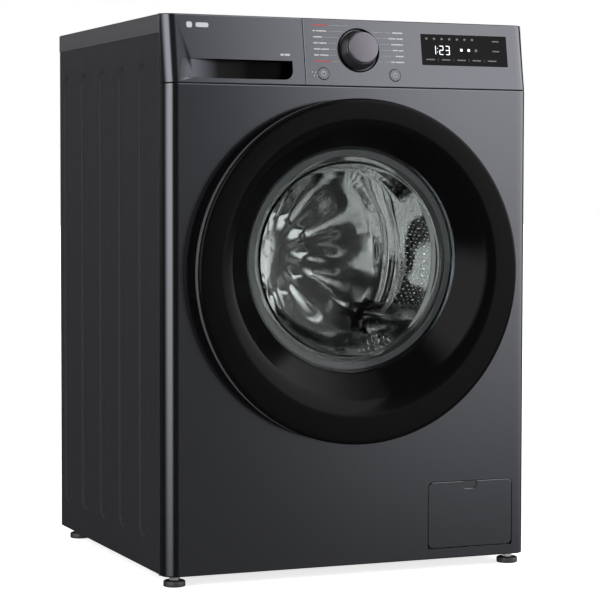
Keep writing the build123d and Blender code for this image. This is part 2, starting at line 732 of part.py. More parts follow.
def filter_flap():
    """The small door over the pump filter, turning on two pegs."""
    flap = slab(flap_x, flap_z, 8, (0, 2.5))
    notch = slab((188, 213), (flap_z[1] - 12, flap_z[1] + 12), 5, (-1, 1.4))
    for x in (flap_x[0] + 12, flap_x[1] - 12):
        flap += block((x - 3, x + 3), (2, 5.4), (35.5, 42))
        place = Pos(x, front_y + flap_pivot[0], flap_pivot[1]) * Rot(0, 90, 0)
        flap += place * Cylinder(1.5, 16)
    return flap - notch


def sump_hose():
    """The hose from the tub's sump to the pump."""
    spots = [(sump_x, sump_d, 210), (sump_x, sump_d, 95), (188, sump_d, 95), (188, 116, 95)]
    return pipe(spots, 19, 16, 44)


def drain_hose():
    """The hose from the pump up to the outlet in the back wall."""
    spots = [
        (228, 114, 62),
        (228, 150, 62),
        (outlet_x, 215, 62),
        (outlet_x, 520, 62),
        (outlet_x, 520, outlet_z),
        (outlet_x, 564, outlet_z),
    ]
    return pipe(spots, 12, 9, 38)


pieces = {
    "side_panel_left": side_panel(),
    "side_panel_right": mirror(side_panel(), Plane.YZ),
    "rear_panel": rear_panel(),
    "rear_cover": rear_cover(),
    "screws": screws(),
    "transit_caps": transit_caps(),
    "mains_gland": mains_gland(),
    "front_panel": front_panel(),
    "top_plate": top_plate(),
    "base_tray": base_tray(),
    "foot_front_left": foot(-foot_x, foot_d[0]),
    "foot_front_right": foot(foot_x, foot_d[0]),
    "foot_rear_left": foot(-foot_x, foot_d[1]),
    "foot_rear_right": foot(foot_x, foot_d[1]),
    "control_panel": control_panel(),
    "display_window": display_window(),
    "control_board": control_board(),
    "knob_ring": knob_ring(),
    "program_knob": program_knob(),
    "power_button": push_button(power_x),
    "start_button": push_button(start_x),
    "drawer_front": drawer_front(),
    "drawer_tray": drawer_tray(),
    "softener_insert": softener_insert(),
    "dispenser_housing": dispenser_housing(),
    "inlet_valve": inlet_valve(),
    "fill_hose": fill_hose(),
    "door_outer_ring": door_outer_ring(),
    "door_back_ring": door_back_ring(),
    "door_glass": door_glass(),
    "hinge_bracket": hinge_bracket(),
    "hinge_block": hinge_block(),
    "hinge_pin": hinge_pin(),
    "latch_hook": latch_hook(),
    "door_lock": door_lock(),
    "door_seal": door_seal(),
    "tub_front": tub_front(),
    "tub_rear": tub_rear(),
    "heater": heater(),
    "counterweight_upper": counterweight(90, 100),
    "counterweight_lower": counterweight(270, 110),
    "drum_shell": drum_shell(),
    "drum_front": drum_front(),
    "drum_lifters": drum_lifters(),
    "drum_spider": drum_spider(),
    "drum_shaft": drum_shaft(),
    "bearings": bearings(),
    "shaft_seal": shaft_seal(),
    "stator": stator(),
    "rotor": rotor(),
    "suspension_springs": suspension_springs(),
    "damper_cylinder_left": damper_cylinder(-1),
    "damper_cylinder_right": damper_cylinder(1),
    "damper_rod_left": damper_rod(-1),
    "damper_rod_right": damper_rod(1),
    "drain_pump": drain_pump(),
    "pump_filter": pump_filter(),
    "filter_flap": filter_flap(),
    "sump_hose": sump_hose(),
    "drain_hose": drain_hose(),
}

os.makedirs("parts", exist_ok=True)
for name, piece in pieces.items():
    solids = piece if isinstance(piece, list) else piece.solids()
    shape = Compound(children=list(solids)) if len(solids) > 1 else solids[0]
    export_step(shape, f"parts/{name}.step")
print(len(pieces), "pieces")
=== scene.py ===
import json
import math

import bmesh
import bpy
import numpy as np
from mathutils import Matrix, Vector


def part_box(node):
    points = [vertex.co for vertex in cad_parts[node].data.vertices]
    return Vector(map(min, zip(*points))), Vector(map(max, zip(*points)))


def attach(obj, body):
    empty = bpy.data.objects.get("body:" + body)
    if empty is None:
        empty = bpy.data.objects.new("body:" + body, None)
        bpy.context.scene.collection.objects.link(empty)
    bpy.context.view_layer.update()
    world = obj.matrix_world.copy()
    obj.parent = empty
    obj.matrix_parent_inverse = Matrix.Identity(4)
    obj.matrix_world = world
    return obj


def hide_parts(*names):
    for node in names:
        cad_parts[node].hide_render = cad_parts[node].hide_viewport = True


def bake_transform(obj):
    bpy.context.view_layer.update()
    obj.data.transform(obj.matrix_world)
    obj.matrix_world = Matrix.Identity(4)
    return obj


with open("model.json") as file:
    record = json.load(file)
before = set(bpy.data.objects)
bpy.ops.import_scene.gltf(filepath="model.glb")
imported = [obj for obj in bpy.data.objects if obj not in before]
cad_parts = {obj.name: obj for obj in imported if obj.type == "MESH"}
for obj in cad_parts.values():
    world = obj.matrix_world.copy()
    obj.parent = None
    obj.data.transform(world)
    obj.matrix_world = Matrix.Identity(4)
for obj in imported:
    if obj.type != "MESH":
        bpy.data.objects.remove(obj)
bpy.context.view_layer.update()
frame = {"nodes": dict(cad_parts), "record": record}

# Studio
# A white floor, one camera off the front left corner, and a dim dome of light with a bright panel
# to the right, one to the left and a weaker one overhead. The dome is dark low down.
scene = bpy.context.scene
scene.view_settings.view_transform = "Standard"
front_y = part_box("front_panel")[0].y * 1000  # the flat face of the front panel, in millimetres


def at(x, d, z):
    """A point from X, the depth behind the front panel's face, and the height, in millimetres."""
    return Vector((x / 1000, (front_y + d) / 1000, z / 1000))


def aim_camera():
    """The camera stands three metres off the front left corner, just above the door."""
    yaw, pitch, roll = 0.4093, -0.0508, 0.0028
    stand = at(-1327.3, -3048.2, 592.5)
    ahead = Vector((math.sin(yaw) * math.cos(pitch), math.cos(yaw) * math.cos(pitch), math.sin(pitch)))
    level = Vector((math.cos(yaw), -math.sin(yaw), 0))
    upright = level.cross(ahead)
    right = math.cos(roll) * level + math.sin(roll) * upright
    up = right.cross(ahead)
    data = bpy.data.cameras.new("camera")
    data.lens, data.sensor_width, data.shift_x = 131.1, 36.0, -0.0833
    camera = bpy.data.objects.new("camera", data)
    turn = Matrix((right, up, -ahead)).transposed().to_4x4()
    camera.matrix_world = Matrix.Translation(stand) @ turn
    scene.collection.objects.link(camera)
    scene.camera = camera


def light_dome():
    """Soft panels on a dim dome: where each starts and ends in turn and in height, in degrees."""
    panels = {
        "right": ((19.5, 26.5, 85, 110), (-12, 7, 45, 70), 3.8),
        "spill on the right": ((9, 17, 100, 120), (-60, -40, 30, 50), 0.24),
        "left": ((-112, -62, -44, -24), (-16, 2, 40, 60), 4.8),
        "overhead": ((-200, -190, 190, 200), (62, 80, 95, 100), 0.9),
        "behind": ((-178, -165, -125, -110), (-5, 5, 30, 45), 0.1),
    }
    world = bpy.data.worlds.new("studio")
    world.use_nodes = True
    scene.world = world
    nodes, links = world.node_tree.nodes, world.node_tree.links
    nodes.clear()

    def sums(operation, a, b=0.0):
        node = nodes.new("ShaderNodeMath")
        node.operation = operation
        for socket, value in zip(node.inputs, (a, b)):
            if isinstance(value, float):
                socket.default_value = value
            else:
                links.new(value, socket)
        return node.outputs[0]

    def ramp(value, start, end, low, high):
        node = nodes.new("ShaderNodeMapRange")
        node.interpolation_type = "SMOOTHSTEP"
        links.new(value, node.inputs["Value"])
        for name, number in (("From Min", start), ("From Max", end), ("To Min", low), ("To Max", high)):
            node.inputs[name].default_value = number
        return node.outputs[0]

    apart = nodes.new("ShaderNodeSeparateXYZ")
    links.new(nodes.new("ShaderNodeTexCoord").outputs["Generated"], apart.inputs[0])
    x, y, z = apart.outputs
    turn = sums("MULTIPLY", sums("ARCTAN2", x, sums("MULTIPLY", y, -1.0)), math.degrees(1))
    rise = sums("MULTIPLY", sums("ARCSINE", z), math.degrees(1))
    total = ramp(rise, -15, 55, 0.03, 0.09)
    for turns, rises, strength in panels.values():
        share = sums("MULTIPLY", ramp(turn, *turns[:2], 0, 1), ramp(turn, *turns[2:], 1, 0))
        share = sums("MULTIPLY", share, ramp(rise, *rises[:2], 0, strength))
        total = sums("ADD", total, sums("MULTIPLY", share, ramp(rise, *rises[2:], 1, 0)))
    dome, sight = nodes.new("ShaderNodeBackground"), nodes.new("ShaderNodeBackground")
    sight.inputs["Color"].default_value = (1, 1, 1, 1)
    links.new(total, dome.inputs["Strength"])
    path, mix = nodes.new("ShaderNodeLightPath"), nodes.new("ShaderNodeMixShader")
    out = nodes.new("ShaderNodeOutputWorld")
    links.new(path.outputs["Is Camera Ray"], mix.inputs[0])
    links.new(dome.outputs[0], mix.inputs[1])
    links.new(sight.outputs[0], mix.inputs[2])
    links.new(mix.outputs[0], out.inputs[0])


def lay_floor():
    """A broad white floor that shades softly under the feet."""
    reach = 30.0
    mesh = bpy.data.meshes.new("floor")
    corners = [(-reach, -reach), (reach, -reach), (reach, reach), (-reach, reach)]
    mesh.from_pydata([(x, y, -0.0005) for x, y in corners], [], [(0, 1, 2, 3)])
    floor = bpy.data.objects.new("floor", mesh)
    scene.collection.objects.link(floor)
    paper = bpy.data.materials.new("paper")
    paper.use_nodes = True
    shader = paper.node_tree.nodes["Principled BSDF"]
    shader.inputs["Base Color"].default_value = (0.9, 0.9, 0.9, 1)
    shader.inputs["Roughness"].default_value = 1.0
    shader.inputs["Emission Color"].default_value = (1, 1, 1, 1)
    shader.inputs["Emission Strength"].default_value = 0.75
    mesh.materials.append(paper)
    floor.visible_glossy = False


aim_camera()
light_dome()
lay_floor()

# Hidden structure and works
# What no section below makes anew keeps its CAD shape. Each finish has grain, uneven gloss and a
# little relief, so bare metal, filled plastic, rubber and cast blocks read apart.


def finish(name, tone, rough, metal=0.0, fleck=(300, 0.12), relief=(900, 0.05), uneven=0.05, **extra):
    """A procedural finish: its tone flecked by fine noise, its gloss uneven, its surface in relief."""
    material = bpy.data.materials.new(name)
    material.use_nodes = True
    nodes, links = material.node_tree.nodes, material.node_tree.links
    shader = nodes["Principled BSDF"]
    shader.inputs["Metallic"].default_value = metal
    for socket, value in extra.items():
        shader.inputs[socket.replace("_", " ")].default_value = value
    place = nodes.new("ShaderNodeTexCoord")

    def noise(scale, detail):
        node = nodes.new("ShaderNodeTexNoise")
        node.inputs["Scale"].default_value = scale
        node.inputs["Detail"].default_value = detail
        links.new(place.outputs["Object"], node.inputs["Vector"])
        return node.outputs["Fac"]

    mix = nodes.new("ShaderNodeMix")
    mix.data_type = "RGBA"
    mix.inputs["A"].default_value = (*[c * (1 - fleck[1]) for c in tone], 1)
    mix.inputs["B"].default_value = (*[min(1, c * (1 + fleck[1])) for c in tone], 1)
    links.new(noise(fleck[0], 3), mix.inputs["Factor"])
    links.new(mix.outputs["Result"], shader.inputs["Base Color"])
    gloss = nodes.new("ShaderNodeMapRange")
    gloss.inputs["To Min"].default_value = max(0.0, rough - uneven)
    gloss.inputs["To Max"].default_value = min(1.0, rough + uneven)
    links.new(noise(35, 4), gloss.inputs["Value"])
    links.new(gloss.outputs[0], shader.inputs["Roughness"])
    bump = nodes.new("ShaderNodeBump")
    bump.inputs["Strength"].default_value = relief[1]
    bump.inputs["Distance"].default_value = 0.001
    links.new(noise(relief[0], 2), bump.inputs["Height"])
    links.new(bump.outputs[0], shader.inputs["Normal"])
    return material


finishes = {
    "enamel_side": finish("enamel_side", (0.036, 0.036, 0.041), 0.36, 0.5, (2500, 0.2), (1800, 0.03)),
    "galvanised": finish("galvanised", (0.52, 0.53, 0.55), 0.38, 1.0, (90, 0.22), (160, 0.05), 0.12),
    "black_matte": finish("black_matte", (0.018, 0.018, 0.02), 0.5, 0, (400, 0.2), (2600, 0.18)),
    "white_plastic": finish("white_plastic", (0.72, 0.73, 0.73), 0.42, 0, (60, 0.03), (2000, 0.08)),
    "grey_plastic": finish("grey_plastic", (0.3, 0.31, 0.32), 0.45, 0, (80, 0.05), (1500, 0.1)),
    "blue_plastic": finish("blue_plastic", (0.08, 0.2, 0.45), 0.35, 0, (70, 0.06), (1500, 0.06)),
    "steel": finish("steel", (0.56, 0.56, 0.57), 0.3, 1.0, (140, 0.12), (900, 0.06), 0.1),
    "stainless": finish("stainless", (0.62, 0.62, 0.61), 0.2, 1.0, (220, 0.08), (700, 0.03), 0.06),
    "aluminium": finish("aluminium", (0.6, 0.61, 0.62), 0.42, 1.0, (220, 0.12), (650, 0.2), 0.1),
    "rubber_grey": finish("rubber_grey", (0.24, 0.24, 0.25), 0.62, 0, (120, 0.1), (1500, 0.12)),
    "rubber_black": finish("rubber_black", (0.02, 0.02, 0.02), 0.66, 0, (200, 0.25), (1300, 0.2)),
    "tub_plastic": finish("tub_plastic", (0.55, 0.55, 0.52), 0.55, 0, (260, 0.08), (900, 0.1)),
    "concrete": finish("concrete", (0.36, 0.35, 0.33), 0.9, 0, (240, 0.3), (320, 0.7)),
    "winding": finish("winding", (0.42, 0.2, 0.1), 0.35, 0.9, (700, 0.35), (1500, 0.6)),
    "board": finish("board", (0.02, 0.13, 0.055), 0.4, 0, (350, 0.35), (500, 0.15)),
}
slot_of = {s["node"]: s["material_slot"] for s in frame["record"]["subparts"]}
for node, piece in frame["nodes"].items():
    if slot_of[node] in finishes:
        piece.data.materials.clear()
        piece.data.materials.append(finishes[slot_of[node]])

# Cabinet front
# One deep pressed sheet in dark metallic enamel. It wraps round both sides and folds in at the top
# and bottom, and it is pierced for the door, the flap, the latch and the hinge.
edge_x, front_low, front_high = 300.0, 16.5, 746.8
bend_r, sheet = 20.0, 1.2
port_z, door_z, dish_r = 485.0, 467.2, 198.0
enamel_front = finish(
    "enamel_front", (0.054, 0.056, 0.064), 0.16, 0.94, (2200, 0.16), (1500, 0.02), 0.02, Coat_Weight=0.7
)
enamel_front.node_tree.nodes["Principled BSDF"].inputs["Coat Roughness"].default_value = 0.06
flap_x, flap_z, flap_gap = (129.0, 274.0), (33.5, 136.5), 1.0


def rounded(a, b, radius, inset=0.0, steps=8):
    """The outline of a rounded rectangle, as pairs of numbers."""
    r = max(radius - inset, 0.05)
    a0, a1, b0, b1 = a[0] + inset, a[1] - inset, b[0] + inset, b[1] - inset
    centres = ((a1 - r, b1 - r), (a0 + r, b1 - r), (a0 + r, b0 + r), (a1 - r, b0 + r))
    points = []
    for quarter, (ca, cb) in enumerate(centres):
        for k in range(steps + 1):
            turn = math.pi / 2 * (quarter + k / steps)
            points.append((ca + r * math.cos(turn), cb + r * math.sin(turn)))
    return points


def circle(x, z, radius, count=96):
    """The outline of a circle, as pairs of numbers."""
    turns = [2 * math.pi * k / count for k in range(count)]
    return [(x + radius * math.cos(t), z + radius * math.sin(t)) for t in turns]


def upright(outline, d):
    """An outline of x and z stood up at one depth."""
    return [at(x, d, z) for x, z in outline]


def loft(rings, around=False):
    """Faces between matching rings of points, capped at both ends unless they run around."""
    count = len(rings[0])
    verts = [point for ring in rings for point in ring]
    faces = []
    for i in range(len(rings) if around else len(rings) - 1):
        a, b = i * count, (i + 1) % len(rings) * count
        faces += [(a + j, a + (j + 1) % count, b + (j + 1) % count, b + j) for j in range(count)]
    if not around:
        end = (len(rings) - 1) * count
        faces += [tuple(range(count))[::-1], tuple(range(end, end + count))]
    return verts, faces


def widest(places):
    """Which gap between neighbouring places is the widest."""
    return max(range(len(places) - 1), key=lambda k: places[k + 1][0] - places[k][0])


def fold_sheet(columns, rows, holes=()):
    """A sheet of columns (x, depth) and rows (z, depth), with holes in its one big flat cell."""
    verts = [at(x, d + back, z) for z, back in rows for x, d in columns]
    wide = len(columns)
    c, r = flat = widest(columns), widest(rows)
    faces = [
        (j * wide + i, j * wide + i + 1, (j + 1) * wide + i + 1, (j + 1) * wide + i)
        for j in range(len(rows) - 1)
        for i in range(wide - 1)
        if (i, j) != flat
    ]
    (x0, d0), (x1, _) = columns[c], columns[c + 1]
    (z0, back0), (z1, back1) = rows[r], rows[r + 1]
    tilt = (back1 - back0) / (z1 - z0)
    bm = bmesh.new()
    for outline in [[(x0, z0), (x1, z0), (x1, z1), (x0, z1)], *holes]:
        ring = [bm.verts.new(at(x, d0 + back0 + tilt * (z - z0), z)) for x, z in outline]
        for a, b in zip(ring, ring[1:] + ring[:1]):
            bm.edges.new((a, b))
    bmesh.ops.triangle_fill(bm, use_beauty=True, edges=bm.edges[:])
    bm.verts.index_update()
    start = len(verts)
    verts += [v.co.copy() for v in bm.verts]
    faces += [tuple(start + v.index for v in f.verts) for f in bm.faces]
    bm.free()
    return verts, faces


def piece(name, parts, wall=0.0, corner=35):
    """One object from (shape, material) parts, welded and turned outwards; wall thickens a sheet."""
    bm = bmesh.new()
    materials = []
    for (verts, faces), material in parts:
        if material not in materials:
            materials.append(material)
        made = [bm.verts.new(v) for v in verts]
        for face in faces:
            bm.faces.new([made[i] for i in face]).material_index = materials.index(material)
    bmesh.ops.remove_doubles(bm, verts=bm.verts, dist=1e-6)
    bmesh.ops.recalc_face_normals(bm, faces=bm.faces)
    mesh = bpy.data.meshes.new(name)
    bm.to_mesh(mesh)
    bm.free()
    for material in materials:
        mesh.materials.append(material)
    made = bpy.data.objects.new(name, mesh)
    scene.collection.objects.link(made)
    if wall:
        thick = made.modifiers.new("wall", "SOLIDIFY")
        thick.thickness, thick.offset = wall / 1000, -1
        settle(made)
    made.data.shade_smooth()
    made.data.set_sharp_from_angle(angle=math.radians(corner))
    return made


def settle(made):
    """Turns an object's modifiers into plain mesh."""
    bpy.context.view_layer.update()
    solid = bpy.data.meshes.new_from_object(made.evaluated_get(bpy.context.evaluated_depsgraph_get()))
    made.modifiers.clear()
    made.data = solid


def fixed(made, *nodes, body="cabinet"):
    """Rides on the body of the CAD nodes it stands in for, or on the one named."""
    for name, members in frame["record"]["behaviour"]["bodies"].items():
        if nodes and nodes[0] in members:
            body = name
    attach(made, body)
    if nodes:
        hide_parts(*nodes)


def wrap(left, right):
    """Columns across the front from one side fold to the other; None stops short of a side."""
    turns = np.radians(np.arange(0, 91, 7.5))
    bend = [(bend_r - bend_r * math.cos(t), bend_r - bend_r * math.sin(t)) for t in turns]
    flat, side_deep, end_deep, soft = edge_x - bend_r - 1, 30, 26, 0.8
    columns = []
    if left is None:
        columns += [(-edge_x, side_deep)] + [(x - edge_x, d) for x, d in bend] + [(-flat, 0)]
    else:
        columns += [(left, end_deep), (left, soft), (left + soft, 0)]
    if right is None:
        columns += [(flat, 0)] + [(edge_x - x, d) for x, d in bend[::-1]] + [(edge_x, side_deep)]
    else:
        columns += [(right - soft, 0), (right, soft), (right, end_deep)]
    return columns


edge_fold = [(0, 12), (0, 1.2), (0.4, 0.4), (1.2, 0), (2, 0)]
rows = [(front_low + up, d) for up, d in edge_fold] + [(front_high - up, d) for up, d in edge_fold[::-1]]
gap_x = (flap_x[0] - flap_gap, flap_x[1] + flap_gap)
gap_z = (flap_z[0] - flap_gap, flap_z[1] + flap_gap)
flap_hole = rounded(gap_x, gap_z, 9)[:18]  # its two top corners are round and its bottom ones cut off
flap_hole += [(gap_x[0], flap_z[0] + 1), (flap_x[0], gap_z[0])]
flap_hole += [(flap_x[1], gap_z[0]), (gap_x[1], flap_z[0] + 1)]
hinge_x = (-235.5, -222.5)
holes = [
    circle(0, port_z, dish_r, 180),
    flap_hole,
    rounded((206, 227), (474, 496), 1),
    rounded(hinge_x, (door_z - 36, door_z - 24), 1),
    rounded(hinge_x, (door_z + 24, door_z + 36), 1),
]
skin = fold_sheet(wrap(None, None), rows, holes)
dish = [(dish_r, 0.6), (196.5, 0.1), (194.5, 0.7), (168.6, 22.9), (167.2, 23.8), (165.6, 24), (164, 24)]
dish += [(164, 25.2), (166, 25.2), (168.4, 24.8), (170, 23.6), (195.4, 1.9), (dish_r, 1.2)]
front = piece("cabinet_front", [(skin, enamel_front)], wall=sheet)
fixed(front, "front_panel")
pressing = loft([upright(circle(0, port_z, r, 180), d) for r, d in dish], around=True)
fixed(piece("door_dish", [(pressing, enamel_front)]))

# Side walls
# Folded sheet in plain dark enamel. Five shallow upright grooves are pressed into each to stop it
# drumming; its front, top and back edges fold inwards.
groove_mid = (112.0, 214.0, 316.0, 417.0, 518.0)
groove_low, groove_high, groove_half, groove_deep = 62.0, 780.0, 19.0, 2.5
wall_front, wall_back, wall_low, wall_high = 30.4, 558.5, 16.5, 821.5


def side_wall(side):
    """One wall as a fine grid whose x follows the grooves."""
    d_fine = [wall_front, 31.0, 31.6, *np.arange(34, 556, 2.0), 557.2, 557.9, wall_back]
    ends = list(np.arange(groove_low - 2, groove_low + 22, 2.0))
    tops = [groove_low + groove_high - z for z in ends[::-1]]
    z_fine = [wall_low, 17.1, 17.7, *ends, *np.arange(100, 760, 60.0), *tops, 820.3, 820.9, wall_high]

    def sunk(d, z):
        over = max(0.0, groove_low + groove_half - z, z - groove_high + groove_half)
        near = min(math.hypot(d - mid, over) for mid in groove_mid)
        share = min(1.0, max(0.0, (groove_half - near) / 5.0))
        return groove_deep * share * share * (3 - 2 * share)

    def roll(value, ends):
        near = min(abs(value - ends[0]), abs(value - ends[1]))
        return max(0.0, sheet - near) ** 2 / sheet

    grid = []
    for z in sorted(set(z_fine)):
        line = [at(side * (edge_x - 13), 31.6, z)]
        for d in d_fine:
            inset = sunk(d, z) + roll(d, (wall_front, wall_back)) + roll(z, (wall_low, wall_high))
            line.append(at(side * (edge_x - inset), d, z))
        grid.append(line + [at(side * (edge_x - 17), 557.9, z)])
    wide = len(grid[0])
    verts = [point for line in grid for point in line]
    faces = [
        (r * wide + c, r * wide + c + 1, (r + 1) * wide + c + 1, (r + 1) * wide + c)
        for r in range(len(grid) - 1)
        for c in range(wide - 1)
    ]
    return verts, faces


for name, side in (("left", -1), ("right", 1)):
    wall = piece(f"side_wall_{name}", [(side_wall(side), finishes["enamel_side"])], wall=sheet)
    fixed(wall, f"side_panel_{name}")

# Worktop
# A moulded slab, hollow underneath, with a fine-grained top. It sits down over the side walls and
# is screwed on at the back.
worktop_finish = finish("worktop", (0.055, 0.056, 0.06), 0.4, 0.0, (900, 0.25), (1200, 0.15))
top_back, top_radius = 567.0, 8.0
plan = [(14, 835), (14, wall_high), (1.4, wall_high), (0.5, 821.9), (0, 822.9), (0, 847.6)]
plan += [(0.5, 849), (1.6, 849.8), (3.2, 850), (4, 850)]
slab = []
for inset, z in plan:
    outline = rounded((-edge_x, edge_x), (wall_front, top_back), top_radius, inset)
    slab.append([at(x, d, z) for x, d in outline])
fixed(piece("worktop", [(loft(slab), worktop_finish)]), "top_plate")

# Console
# A leaning moulded fascia in the same dark metallic finish. It carries the programme dial, two
# buttons, the display and the printed marks: plain bars and simple signs.
console_low, console_high, console_lean = 747.4, 850.0, 17.75
drawer_split, split_gap = -77.0, 0.4
slope = console_lean / (console_high - console_low)
lean_turn = Matrix.Rotation(-math.atan(slope), 3, "X")
fascia = finish(
    "fascia", (0.055, 0.057, 0.066), 0.17, 0.92, (2200, 0.14), (1500, 0.02), 0.02, Coat_Weight=0.6
)
black_gloss = finish(
    "black_gloss", (0.0018, 0.0018, 0.002), 0.12, 0.0, (120, 0.2), (60, 0.004), 0.02, Specular_IOR_Level=0.06
)


def leaning(shape, x, z):
    """A shape modelled flat about x = 0, z = 0, moved on to the leaning console."""
    verts, faces = shape
    base = at(x, slope * (z - console_low), z)
    return [base + lean_turn @ (v - at(0, 0, 0)) for v in verts], faces


def pad(outline_at, d, edge, steps=4):
    """A plate whose front edge is rounded over; outline_at gives the outline for an inset."""
    bend = [math.pi / 2 * k / steps for k in range(steps + 1)]
    rings = [upright(outline_at(edge * 1.5), d[0])]
    rings += [upright(outline_at(edge * (1 - math.sin(t))), d[0] + edge * (1 - math.cos(t))) for t in bend]
    return loft(rings + [upright(outline_at(0), d[1])])


def disc(radius, d, edge, steps=4, count=96):
    """A round pad about the origin."""
    return pad(lambda inset: circle(0, 0, radius - inset, count), d, edge, steps)


def hoops(profile, around=True, count=96):
    """A turned ring about the origin from (radius, depth) points."""
    return loft([upright(circle(0, 0, r, count), d) for r, d in profile], around)


def fascia_sheet(columns, holes):
    """The leaning face, folded in at the bottom and over the top, where it stops at the worktop."""
    rows = [(console_low, 14), (console_low, 1.4), (console_low + 0.4, 0.5), (console_low + 1.2, slope * 1.2)]
    rows += [(z, slope * (z - console_low)) for z in (console_low + 2, console_high - 2.4)]
    rows += [(console_high - 1.6, slope * 101), (console_high - 0.5, console_lean + 0.4)]
    rows += [(console_high, console_lean + 1.4), (console_high, 29.2)]
    verts, faces = fold_sheet(columns, rows, holes)
    return [Vector((v.x, min(v.y, at(0, 30, 0).y), v.z)) for v in verts], faces


knob_at, power_at, start_at = (12.0, 803.0), (-48.0, 766.0), (70.5, 766.0)
display_x, display_z = (118.0, 266.3), (783.3, 831.5)
holes = [
    circle(*power_at, 9.75, 64),
    circle(*start_at, 9.75, 64),
    rounded(display_x, display_z, 1.2),
]
panel = fascia_sheet(wrap(drawer_split + split_gap, None), holes)
fixed(piece("console", [(panel, fascia)], wall=2.5), "control_panel")

# Detergent drawer front
# The same fascia, with a scooped hand recess whose floor fades out to the left; its floor is
# painted darker as it deepens, painted shade for the recess's own shadow.
recess_low, recess_high, recess_left, recess_right = 755.3, 784.0, -272.0, -97.5
recess_round, recess_back, recess_run = 14.0, 27.5, 110.0
# Painted shade: the recess floor's colour darkens to near black towards the right, standing in for the
# recess's shadow.
recess_painted_shade = finish("recess_painted_shade", (0.055, 0.057, 0.066), 0.3, 0.92, (2200, 0.14), (1500, 0.02), 0.02)
nodes, links = recess_painted_shade.node_tree.nodes, recess_painted_shade.node_tree.links
shader = nodes["Principled BSDF"]
plain = shader.inputs["Base Color"].links[0].from_socket
kinds = ("TexCoord", "SeparateXYZ", "MapRange", "Mix")
place, apart, shade_ramp, mix = (nodes.new(f"ShaderNode{kind}") for kind in kinds)
mix.data_type = "RGBA"
# The near black end of the painted shade ramp.
mix.inputs["B"].default_value = (0.0015, 0.0015, 0.0016, 1)
shade_ramp.inputs["From Min"].default_value, shade_ramp.inputs["From Max"].default_value = -0.266, -0.212
links.new(place.outputs["Object"], apart.inputs[0])
links.new(apart.outputs["X"], shade_ramp.inputs["Value"])
links.new(shade_ramp.outputs[0], mix.inputs["Factor"])
links.new(plain, mix.inputs["A"])
links.new(mix.outputs["Result"], shader.inputs["Base Color"])


def recess_bottom(x):
    """The recess's lower edge, rounded up at its right end."""
    over = max(0.0, x - recess_right + recess_round)
    return recess_low + recess_round - math.sqrt(recess_round ** 2 - over ** 2)


def recess_point(x, z, sunk):
    """A point on the fascia, or on the recess's floor when sunk."""
    t = min(1.0, (x - recess_left) / recess_run)
    share = t * t * (3 - 2 * t) if sunk else 0
    return at(x, slope * (z - console_low) * (1 - share) + recess_back * share, z)


corner = recess_right - recess_round * (1 - np.sin(np.linspace(0, math.pi / 2, 10)))
xs = [*np.linspace(recess_left, recess_right - recess_round - 2, 30), *corner]
mouth = [(x, recess_high) for x in xs] + [(x, recess_bottom(x)) for x in xs[::-1]]
mouth += [(recess_left, recess_low + 0.6), (recess_left, recess_high - 0.6)]
face = fascia_sheet(wrap(None, drawer_split - split_gap), [mouth])
scoop = []
for x in xs:
    low = recess_bottom(x)
    levels = ((recess_high, False), (recess_high - 0.6, True), (low + 0.6, True), (low, False))
    scoop.append([recess_point(x, z, sunk) for z, sunk in levels])
corners = [4 * i + j for i in range(len(xs) - 1) for j in range(3)]
strip = [(k, k + 1, k + 5, k + 4) for k in corners]
end = 4 * (len(xs) - 1)
scoop = ([point for ring in scoop for point in ring], [*strip, (end, end + 1, end + 2, end + 3)])
fixed(piece("drawer_front", [(face, fascia), (scoop, recess_painted_shade)], wall=1.5), "drawer_front")

# Dial and buttons
# A flat-topped programme dial with a dark conical skirt, in a thin black ring, and two flush
# round buttons, each in a dark gap with a faint sign.
cap_finish = finish("dial cap", (0.115, 0.108, 0.125), 0.34, 0.7, (1600, 0.05), (2200, 0.03))
skirt_finish = finish("dial skirt", (0.016, 0.016, 0.018), 0.16, 0.0, (300, 0.2), (900, 0.01))
button_finish = finish("button", (0.1, 0.104, 0.116), 0.26, 0.6, (1800, 0.12), (1500, 0.03))
ink_light = finish("ink light", (0.36, 0.36, 0.37), 0.5, 0.0, (900, 0.08), (900, 0.05))
ink_red = finish("ink red", (0.3, 0.025, 0.035), 0.5, 0.0, (900, 0.08), (900, 0.05))
trim_ring = [(34.2, -0.1), (34.2, -1.5), (33.8, -1.9), (32.2, -2), (31.7, -1.7), (31.5, -0.1)]
fixed(piece("dial_ring", [(leaning(hoops(trim_ring), *knob_at), black_gloss)]), "knob_ring")
skirt = [(0.1, -0.6), (30.2, -0.6), (30.45, -1.2), (30.3, -2.2), (25.6, -14.6), (25.1, -15.4), (24.4, -15.6)]
cap = [(0.1, -15.2), (23.9, -15.2), (24, -16), (24, -20), (23.7, -20.9), (22.9, -21.4)]
cap += [(22, -21.5), (0.1, -21.5)]
dial = [
    (leaning(hoops(skirt + [(0.1, -15.6)], around=True), *knob_at), skirt_finish),
    (leaning(hoops(cap, around=True), *knob_at), cap_finish),
]
fixed(piece("dial", dial, corner=50), "program_knob")
for name, place in (("power_button", power_at), ("start_button", start_at)):
    face = leaning(disc(9.1, (-0.6, 8), 0.8), *place)
    hoop = hoops([(3.6, -0.5), (3.6, -0.7), (3.1, -0.7), (3.1, -0.5)], count=40)
    bar = loft([upright(rounded((-0.35, 0.35), (0.8, 4.6), 0.3), d) for d in (-0.74, -0.5)])
    sign = [(leaning(hoop, *place), ink_light), (leaning(bar, *place), ink_light)]
    fixed(piece(name, [(face, button_finish), *sign]), name)

